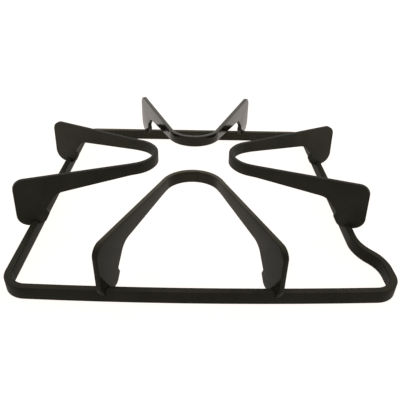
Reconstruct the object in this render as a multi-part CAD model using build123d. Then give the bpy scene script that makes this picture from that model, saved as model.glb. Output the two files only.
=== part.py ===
"""Pan support for one burner of a gas hob: a bent flat-bar ring that carries four hairpin fingers.

Units are millimetres. The origin is on the burner's axis, in the plane of the hob top that the ring
stands on. X points right, Y to the rear of the hob and Z up. All sizes include the enamel coat.
"""
from build123d import *

import os
from math import asin, atan2, cos, degrees, radians, sin, sqrt, tan

# Base ring, a flat bar bent on edge into a rounded square
ring_half_width = 111.0     # burner axis to the outer face of the left and right sides
ring_front_reach = 116.5    # burner axis to the outer face of the front side, at its middle
front_bow_radius = 2400.0   # the front side is bowed gently outwards, to this radius
ring_rear_reach = 110.7     # burner axis to the outer face of the rear side
bar_thickness = 4.6
bar_height = 9.0
bar_edge_break = 0.6        # the bar's long edges are broken by this much at 45 degrees
ring_corner_radius = 15.4   # outer face of the bends

# Jog of the right side, which widens the ring at the front right corner
jog_offset = 12.8           # how far the side moves out
jog_length = 32.7           # length of the S-bend along the side
jog_run = 6.7               # straight stretch between the S-bend and the front corner

# Hairpin finger, a strip folded about an upright bend that points at the burner
strip_thickness = 3.5
strip_edge_break = 0.5      # the stamped edges are broken by this much at 45 degrees
nose_distance = 26.6        # burner axis to the nose of the finger
nose_bend_radius = 18.6     # inner face of the fold
splay_angle = 22.6          # each arm leans this far from the finger's middle plane
nose_top = 39.4             # hob top to the upper edge of the nose
nose_height = 8.5           # upright height of the strip at the nose
nose_run = 5.0              # level stretch of each arm beside the nose
arm_blend_radius = 42.0     # gentle bends between the level nose and the sloping arm edges

# Ear and foot at the end of each arm
ear_top = 41.7              # hob top to the upper corner of the ear
ear_corner_radius = 7.3
arm_drop = 14.4             # arm's lower edge below the top of the ear, where it meets the foot
throat_radius = 9.9         # inner corner between the arm and the foot
throat_length = 28.5        # from the foot's outer end to that corner
foot_width = 17.8           # along the bottom edge
foot_outer_radius = 9.2
foot_inner_radius = 4.8
toe_height = 7.0            # top of the toe block above the foot's bottom edge
toe_width = 21.9            # from the foot's outer end to the toe block's upper corner
nick_depth = 1.5            # nick above the toe block, measured along the arm
nick_rise = 3.6             # deepest point of the nick above the toe block's upper corner
toe_face_radius = 0.4       # toe block's upper corner on the broad faces, inside the broken edge
nick_radius = 0.4
right_slot_depth = 2.1      # how far the right feet reach down over the bar
rear_slot_depth = 0.9
left_slot_depth = 3.3
front_slot_depth = 5.4
slot_clearance = 0.15       # between the bar's faces and the slot's sides
right_overhang = 8.0        # right feet beyond the bar's outer face
rear_overhang = 7.4
left_overhang = 8.9
front_overhang = 4.0
front_trim = 1.2            # cut off the outer ends of the front feet, from ear to heel
right_ear_lean = 1.9        # upper corner of the right ears behind the foot's outer corner
rear_ear_lean = 0.6
left_ear_lean = 2.0
front_ear_lean = 0.1

# Sizes that follow from the ones above
bow_centre = front_bow_radius - ring_front_reach
splay = radians(splay_angle)
nose_mid_radius = nose_bend_radius + strip_thickness / 2
nose_centre = nose_distance + strip_thickness / 2 + nose_mid_radius
arm_start = Vector(nose_centre - nose_mid_radius * sin(splay), nose_mid_radius * cos(splay))
nose_bottom = nose_top - nose_height
toe_radius = toe_face_radius + strip_edge_break


def front_bend(sideways):
    """Y of the centre of a front corner's bend, this far sideways, and the bow's turn to it in degrees."""
    reach = front_bow_radius - ring_corner_radius
    return bow_centre - sqrt(reach ** 2 - sideways ** 2), degrees(asin(sideways / reach))


def ring_outline():
    """Outer outline of the ring, seen from above, anticlockwise from the front left corner."""
    rear, right, left = ring_rear_reach, ring_half_width, -ring_half_width
    wide = right + jog_offset
    radius = ring_corner_radius
    left_bend, left_turn = front_bend(right - radius)
    right_bend, right_turn = front_bend(wide - radius)
    jog_turn = degrees(2 * atan2(jog_offset, jog_length))
    jog_radius = jog_length / (2 * sin(radians(jog_turn)))
    jog_front = right_bend + jog_run
    jog_rear = jog_front + jog_length
    return Wire([
        CenterArc((0, bow_centre), front_bow_radius, -90 - left_turn, left_turn + right_turn),
        CenterArc((wide - radius, right_bend), radius, right_turn - 90, 90 - right_turn),
        Line((wide, right_bend), (wide, jog_front)),
        CenterArc((wide - jog_radius, jog_front), jog_radius, 0, jog_turn),
        CenterArc((right + jog_radius, jog_rear), jog_radius, 180 + jog_turn, -jog_turn),
        Line((right, jog_rear), (right, rear - radius)),
        CenterArc((right - radius, rear - radius), radius, 0, 90),
        Line((right - radius, rear), (left + radius, rear)),
        CenterArc((left + radius, rear - radius), radius, 90, 90),
        Line((left, rear - radius), (left, left_bend)),
        CenterArc((left + radius, left_bend), radius, 180, 90 - left_turn),
    ])


def make_ring():
    """Flat bar on edge, bent along the outline, with its four long edges broken."""
    outline = ring_outline()
    inner = outline.offset_2d(-bar_thickness)
    ring = extrude(Face(outline, [inner]), bar_height)
    levels = ring.edges().group_by(Axis.Z)
    return chamfer(levels[0] + levels[-1], bar_edge_break)


def arm_profile(arm_length, foot_bottom, trim, ear_lean):
    """Side view of one arm, ear and foot: X runs along the arm from the nose bend, Y is up."""
    heel = arm_length - trim
    toe_corner = (arm_length - toe_width, foot_bottom + toe_height)
    corners = [
        ((nose_run, nose_top), arm_blend_radius),
        ((heel - ear_lean, ear_top), ear_corner_radius),
        ((heel, foot_bottom), foot_outer_radius),
        ((arm_length - foot_width, foot_bottom), foot_inner_radius),
        (toe_corner, toe_radius),
        ((toe_corner[0] + nick_depth, toe_corner[1] + nick_rise), nick_radius),
        ((arm_length - throat_length, ear_top - arm_drop), throat_radius),
        ((nose_run, nose_bottom), arm_blend_radius),
    ]
    points = [(0, nose_top)] + [place for place, radius in corners] + [(0, nose_bottom)]
    outline = FilletPolyline(*points, radius=[radius for place, radius in corners], close=False)
    end = Line((0, nose_bottom), (0, nose_top))
    return Face(Wire([*outline.edges(), end]))


def runs_across_strip(edge):
    """True for the straight seams that cross the strip's thickness between two stretches of its rim."""
    direction = edge.tangent_at(0.5)
    straight = edge.geom_type == GeomType.LINE
    return straight and abs(direction.Z) < 1e-6 and abs(edge.length - strip_thickness) < 1e-6


def make_finger(bar_distance, overhang, depth, trim, ear_lean):
    """Finger along +X, with its nose towards the origin and its feet slotted over the bar."""
    arm_length = (bar_distance + bar_thickness / 2 + overhang - arm_start.X) / cos(splay)
    arm_plane = Plane(arm_start, x_dir=(cos(splay), sin(splay), 0), z_dir=(sin(splay), -cos(splay), 0))
    profile = arm_profile(arm_length, bar_height - depth, trim, ear_lean)
    arm = extrude(arm_plane * profile, strip_thickness / 2, both=True)

    section_place = Pos(nose_centre - nose_mid_radius, 0, nose_top - nose_height / 2)
    nose_section = section_place * (Plane.XZ * Rectangle(strip_thickness, nose_height))
    nose_half = revolve(nose_section, Axis((nose_centre, 0, 0), (0, 0, 1)), splay_angle - 90)

    half = arm + nose_half
    finger = half + mirror(half, Plane.XZ)
    edges = finger.edges()
    rims = edges - edges.filter_by(Axis.Z) - edges.filter_by(runs_across_strip)
    finger = chamfer(rims, strip_edge_break)

    slot_width = bar_thickness + 2 * slot_clearance
    slots = Pos(bar_distance, 0, bar_height / 2) * Box(slot_width, 2 * bar_distance, bar_height)
    return finger - slots


def front_reach_at_feet():
    """Burner axis to the outer face of the bowed front side, where the front finger's feet stand on it."""
    spread = arm_start.Y + (ring_front_reach - arm_start.X) * tan(splay)
    return sqrt(front_bow_radius ** 2 - spread ** 2) - bow_centre


def make_fingers():
    """The four fingers, each made for the side of the ring that carries it."""
    sides = [
        ("right", 0, ring_half_width, right_overhang, right_slot_depth, 0, right_ear_lean),
        ("rear", 90, ring_rear_reach, rear_overhang, rear_slot_depth, 0, rear_ear_lean),
        ("left", 180, ring_half_width, left_overhang, left_slot_depth, 0, left_ear_lean),
        ("front", 270, front_reach_at_feet(), front_overhang, front_slot_depth, front_trim, front_ear_lean),
    ]
    return {
        side + "_finger": Rot(Z=turn) * make_finger(reach - bar_thickness / 2, *shape)
        for side, turn, reach, *shape in sides
    }


os.makedirs("parts", exist_ok=True)
for node, shape in {"base_ring": make_ring(), **make_fingers()}.items():
    export_step(shape, f"parts/{node}.step")
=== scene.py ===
"""Looks of the hob pan support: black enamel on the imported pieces, a white studio and the camera."""

from math import cos, radians, sin

import bpy
from mathutils import Matrix, Vector

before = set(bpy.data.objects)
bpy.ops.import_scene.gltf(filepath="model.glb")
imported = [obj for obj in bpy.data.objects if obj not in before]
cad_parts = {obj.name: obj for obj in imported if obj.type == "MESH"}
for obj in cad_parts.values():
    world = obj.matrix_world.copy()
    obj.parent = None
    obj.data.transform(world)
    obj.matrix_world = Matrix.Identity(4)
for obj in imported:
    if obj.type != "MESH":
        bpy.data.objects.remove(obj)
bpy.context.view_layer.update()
scene = bpy.context.scene
scene.view_settings.view_transform = "Standard"

# Camera, as fitted to the photograph: metres, degrees and pixels of a 400 pixel frame
camera_place = Vector((0.002456, -0.299965, 0.189234))
camera_pitch = radians(32.662)
camera_yaw = radians(0.594)
camera_roll = radians(-1.215)
camera_clip = 0.01
focal_pixels = 444.4
frame_pixels = 400
sensor_width = 36.0     # millimetres

# Enamel: two base tones mottled together, and a fine orange peel
dark_tone = (0.0092, 0.0091, 0.0068, 1)
light_tone = (0.0152, 0.0150, 0.0113, 1)
dark_position = 0.35
light_position = 0.7
specular_tint = (1.0, 0.93, 0.74, 1)
mottle_scale = 55
mottle_detail = 4
mottle_roughness = 0.6
mottle_range = (0.3, 0.7)
peel_scale = 620
peel_detail = 2
peel_roughness = 0.45
peel_strength = 0.12
peel_depth = 0.0004

# Finishes, and the upward part of the normal and the height that tell tops and undersides apart
satin_roughness = (0.52, 0.60)
gloss_roughness = (0.10, 0.16)
high_gloss_roughness = (0.07, 0.12)
underside_roughness = 0.5
underside_facing = (-0.3, -0.05)
# Upward faces in this range take each coat's painted shade of the tops, a painted highlight where it is above
# 1
top_facing = (0.6, 0.9)
foot_level = (0.0128, 0.0136)

# Coat of each kind of piece, lit and shaded copies of one enamel: its reach from front to rear, its painted
# shade at both ends of that reach, the painted shade of its tops beside that of its sides, its index of
# refraction and its roughness; a painted shade above 1 is painted light
ring_coat = {
    "reach": (0.03, 0.11),
    "painted_shade": (0.9, 2.5),
    "painted_top_shade": 2.0,
    "ior": 1.16,
    "roughness": satin_roughness,
}
front_coat = {
    "reach": (-0.12, -0.03),
    "painted_shade": (0.9, 2.0),
    "painted_top_shade": 2.4,
    "ior": 1.13,
    "roughness": gloss_roughness,
}
side_coat = {
    "reach": (-0.03, 0.03),
    "painted_shade": (1.0, 1.5),
    "painted_top_shade": 0.6,
    "ior": 1.25,
    "roughness": satin_roughness,
}
rear_coat = {
    "reach": (0.03, 0.12),
    "painted_shade": (0.3, 0.6),
    "painted_top_shade": 4.0,
    "ior": 1.315,
    "roughness": high_gloss_roughness,
}

# Round rims: points closer than this are welded, and broad faces lead the shading by this weight
weld_distance = 0.00001
broad_face_weight = 100

# Studio: a floor of white paper that glows where it is seen directly, warm surroundings and one soft lamp
floor_size = 8.0
floor_gap = 0.0002
floor_tone = (0.93, 0.93, 0.93, 1)
floor_glow_share = 0.85
floor_glow = (1.18, 1.10, 1.06, 1)
plain_white = (1, 1, 1, 1)
warm_white = (1.0, 0.94, 0.86, 1)
lamp_place = Vector((0, 0.55, 0.6))
lamp_target = Vector((0, 0.2, 0))
lamp_size = (1.2, 0.5)
lamp_power = 0.8


def nodes_of(owner):
    """Empty node tree of a material or a world."""
    owner.use_nodes = True
    tree = owner.node_tree
    tree.nodes.clear()
    return tree


def add_node(tree, kind, **sockets):
    """New node, with plain values put on its input sockets by name."""
    node = tree.nodes.new(kind)
    for name, value in sockets.items():
        node.inputs[name.replace("_", " ")].default_value = value
    return node


def add_noise(tree, place, scale, detail, roughness):
    """Noise that stays with the piece."""
    noise = add_node(tree, "ShaderNodeTexNoise", Scale=scale, Detail=detail, Roughness=roughness)
    tree.links.new(place, noise.inputs["Vector"])
    return noise.outputs["Fac"]


def remap(tree, value, source, target):
    """Value carried from one range to another, held at the ends."""
    node = add_node(tree, "ShaderNodeMapRange", To_Min=target[0], To_Max=target[1])
    node.inputs["From Min"].default_value = source[0]
    node.inputs["From Max"].default_value = source[1]
    tree.links.new(value, node.inputs["Value"])
    return node.outputs["Result"]


def combine(tree, operation, first, second):
    """Result of one step of arithmetic on two values."""
    node = add_node(tree, "ShaderNodeMath")
    node.operation = operation
    tree.links.new(first, node.inputs[0])
    tree.links.new(second, node.inputs[1])
    return node.outputs["Value"]


def along(tree, vector, axis):
    """Part of a vector along one axis."""
    node = add_node(tree, "ShaderNodeSeparateXYZ")
    tree.links.new(vector, node.inputs["Vector"])
    return node.outputs[axis]


def make_enamel(name, reach, painted_shade, painted_top_shade, ior, roughness):
    """Vitreous enamel: warm black glass with faint mottling and a soft orange peel, satin under the feet,
    with painted light and shade on its base colour from front to rear and on its tops.
    """
    material = bpy.data.materials.new(name)
    tree = nodes_of(material)
    link = tree.links.new
    coordinates = add_node(tree, "ShaderNodeTexCoord").outputs
    place = coordinates["Object"]
    facing = along(tree, coordinates["Normal"], "Z")

    mottle = add_noise(tree, place, mottle_scale, mottle_detail, mottle_roughness)
    tint = add_node(tree, "ShaderNodeValToRGB")
    dark, light = tint.color_ramp.elements
    dark.position = dark_position
    dark.color = dark_tone
    light.position = light_position
    light.color = light_tone
    link(mottle, tint.inputs["Fac"])
    # Painted light and shade: the base colour is scaled along the piece from front to rear, and again on its
    # upward faces
    painted_shading = remap(tree, along(tree, place, "Y"), reach, painted_shade)
    painted_top_shading = remap(tree, facing, top_facing, (1, painted_top_shade))
    shaded = add_node(tree, "ShaderNodeVectorMath")
    shaded.operation = "SCALE"
    link(tint.outputs["Color"], shaded.inputs["Vector"])
    link(combine(tree, "MULTIPLY", painted_shading, painted_top_shading), shaded.inputs["Scale"])

    gloss = remap(tree, mottle, mottle_range, roughness)
    underside = remap(tree, facing, underside_facing, (1, 0))
    foot = remap(tree, along(tree, place, "Z"), foot_level, (underside_roughness, 0))
    dull = combine(tree, "MULTIPLY", underside, foot)

    peel = add_noise(tree, place, peel_scale, peel_detail, peel_roughness)
    relief = add_node(tree, "ShaderNodeBump", Strength=peel_strength, Distance=peel_depth)
    link(peel, relief.inputs["Height"])

    surface = add_node(tree, "ShaderNodeBsdfPrincipled", IOR=ior, Specular_Tint=specular_tint)
    link(shaded.outputs["Vector"], surface.inputs["Base Color"])
    link(combine(tree, "MAXIMUM", gloss, dull), surface.inputs["Roughness"])
    link(relief.outputs["Normal"], surface.inputs["Normal"])
    output = add_node(tree, "ShaderNodeOutputMaterial")
    link(surface.outputs["BSDF"], output.inputs["Surface"])
    return material


def dress_pieces():
    """Enamel on every CAD piece, with its rims shaded as round edges."""
    side_enamel = make_enamel("side_enamel", **side_coat)
    enamels = {
        "base_ring": make_enamel("ring_enamel", **ring_coat),
        "front_finger": make_enamel("front_enamel", **front_coat),
        "rear_finger": make_enamel("rear_enamel", **rear_coat),
        "left_finger": side_enamel,
        "right_finger": side_enamel,
    }
    for name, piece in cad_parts.items():
        piece.data.materials.clear()
        piece.data.materials.append(enamels[name])
        weld = piece.modifiers.new("weld", "WELD")
        weld.merge_threshold = weld_distance
        normals = piece.modifiers.new("round_rims", "WEIGHTED_NORMAL")
        normals.mode = "FACE_AREA"
        normals.weight = broad_face_weight


def seen_directly(tree):
    """Factor that is 1 for camera, glossy and transmission rays, and 0 for the light that falls on things."""
    rays = add_node(tree, "ShaderNodeLightPath").outputs
    seen = combine(tree, "MAXIMUM", rays["Is Camera Ray"], rays["Is Glossy Ray"])
    return combine(tree, "MAXIMUM", seen, rays["Is Transmission Ray"])


def mix_shaders(tree, share, first, second):
    """Surface that goes from the first shader to the second as the share goes from 0 to 1."""
    mix = add_node(tree, "ShaderNodeMixShader")
    tree.links.new(share, mix.inputs["Fac"])
    tree.links.new(first, mix.inputs[1])
    tree.links.new(second, mix.inputs[2])
    return mix.outputs["Shader"]


def make_floor():
    """White floor that stays white in the picture and still takes the object's shadow."""
    material = bpy.data.materials.new("floor_white")
    tree = nodes_of(material)
    paper = add_node(tree, "ShaderNodeBsdfDiffuse", Color=floor_tone)
    glow = add_node(tree, "ShaderNodeEmission", Color=floor_glow, Strength=1.0)
    share = remap(tree, seen_directly(tree), (0, 1), (0, floor_glow_share))
    surface = mix_shaders(tree, share, paper.outputs["BSDF"], glow.outputs["Emission"])
    output = add_node(tree, "ShaderNodeOutputMaterial")
    tree.links.new(surface, output.inputs["Surface"])

    half = floor_size / 2
    corners = [(x, y, -floor_gap) for x, y in ((-half, -half), (half, -half), (half, half), (-half, half))]
    mesh = bpy.data.meshes.new("floor")
    mesh.from_pydata(corners, [], [(0, 1, 2, 3)])
    mesh.materials.append(material)
    floor = bpy.data.objects.new("floor", mesh)
    scene.collection.objects.link(floor)


def make_sky():
    """Soft warm surroundings that look white to the camera."""
    world = bpy.data.worlds.new("studio")
    scene.world = world
    tree = nodes_of(world)
    sky = add_node(tree, "ShaderNodeBackground", Color=warm_white, Strength=1.0)
    white = add_node(tree, "ShaderNodeBackground", Color=plain_white, Strength=1.0)
    surface = mix_shaders(tree, seen_directly(tree), sky.outputs["Background"], white.outputs["Background"])
    output = add_node(tree, "ShaderNodeOutputWorld")
    tree.links.new(surface, output.inputs["Surface"])


def make_lamp():
    """Large soft lamp above and behind the object."""
    data = bpy.data.lights.new("back_softbox", "AREA")
    data.shape = "RECTANGLE"
    data.size, data.size_y = lamp_size
    data.energy = lamp_power
    data.color = warm_white[:3]
    lamp = bpy.data.objects.new("back_softbox", data)
    lamp.location = lamp_place
    lamp.rotation_euler = (lamp_target - lamp_place).to_track_quat("-Z", "Y").to_euler()
    scene.collection.objects.link(lamp)


def make_camera():
    """Camera at the photograph's viewpoint."""
    ahead = Vector((
        sin(camera_yaw) * cos(camera_pitch),
        cos(camera_yaw) * cos(camera_pitch),
        -sin(camera_pitch),
    ))
    level = Vector((cos(camera_yaw), -sin(camera_yaw), 0))
    down = ahead.cross(level)
    right = cos(camera_roll) * level + sin(camera_roll) * down
    up = sin(camera_roll) * level - cos(camera_roll) * down
    data = bpy.data.cameras.new("camera")
    data.sensor_width = sensor_width
    data.lens = focal_pixels / frame_pixels * sensor_width
    data.clip_start = camera_clip
    camera = bpy.data.objects.new("camera", data)
    turn = Matrix((right, up, -ahead)).transposed().to_4x4()
    camera.matrix_world = Matrix.Translation(camera_place) @ turn
    scene.collection.objects.link(camera)
    scene.camera = camera


dress_pieces()
make_floor()
make_sky()
make_lamp()
make_camera()
